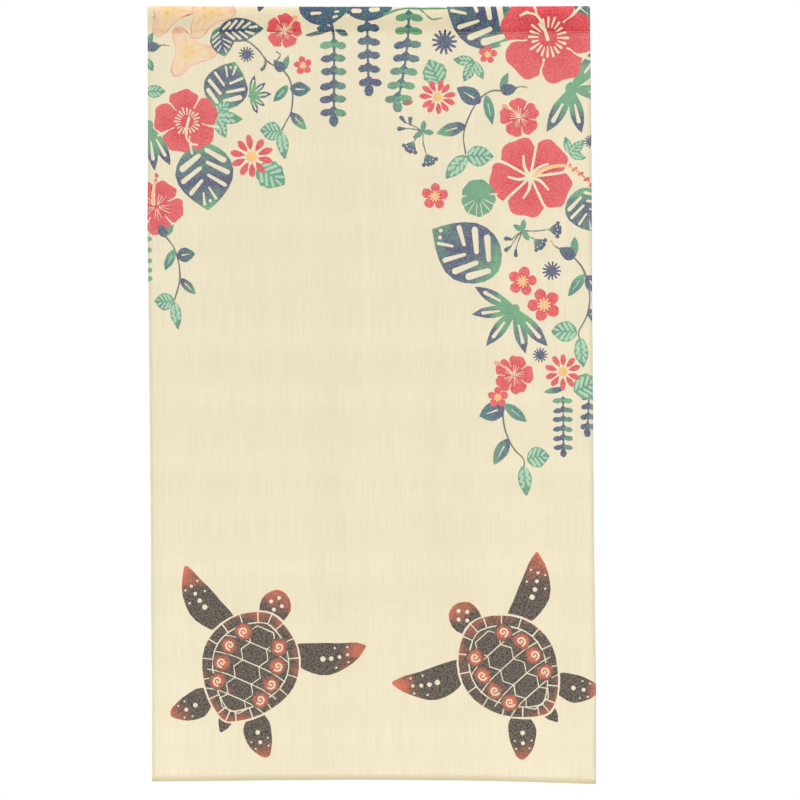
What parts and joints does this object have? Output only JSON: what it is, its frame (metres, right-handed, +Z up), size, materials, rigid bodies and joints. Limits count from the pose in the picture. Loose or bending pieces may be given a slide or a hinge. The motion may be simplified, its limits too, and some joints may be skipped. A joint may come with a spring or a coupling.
{
  "type": "noren curtain",
  "caption": "Flat hanging door curtain of thin printed cloth, with a sewn rod pocket along its top edge and narrow hems at its sides and foot.",
  "frame": {"origin": "middle of the top fold of the rod pocket, the line on which a rod carries the curtain", "axes": "+Z up; +X across the curtain, to the right as seen from its printed front; the front faces -Y"},
  "size_m": [0.8593, 0.0176, 1.49],
  "materials": {
    "printed_cloth": "plain-woven slub cloth in natural beige, screen printed, matt"
  },
  "bodies": {
    "root": {"rod_pocket": "printed_cloth", "curtain_panel": "printed_cloth"}
  },
  "joints": []
}
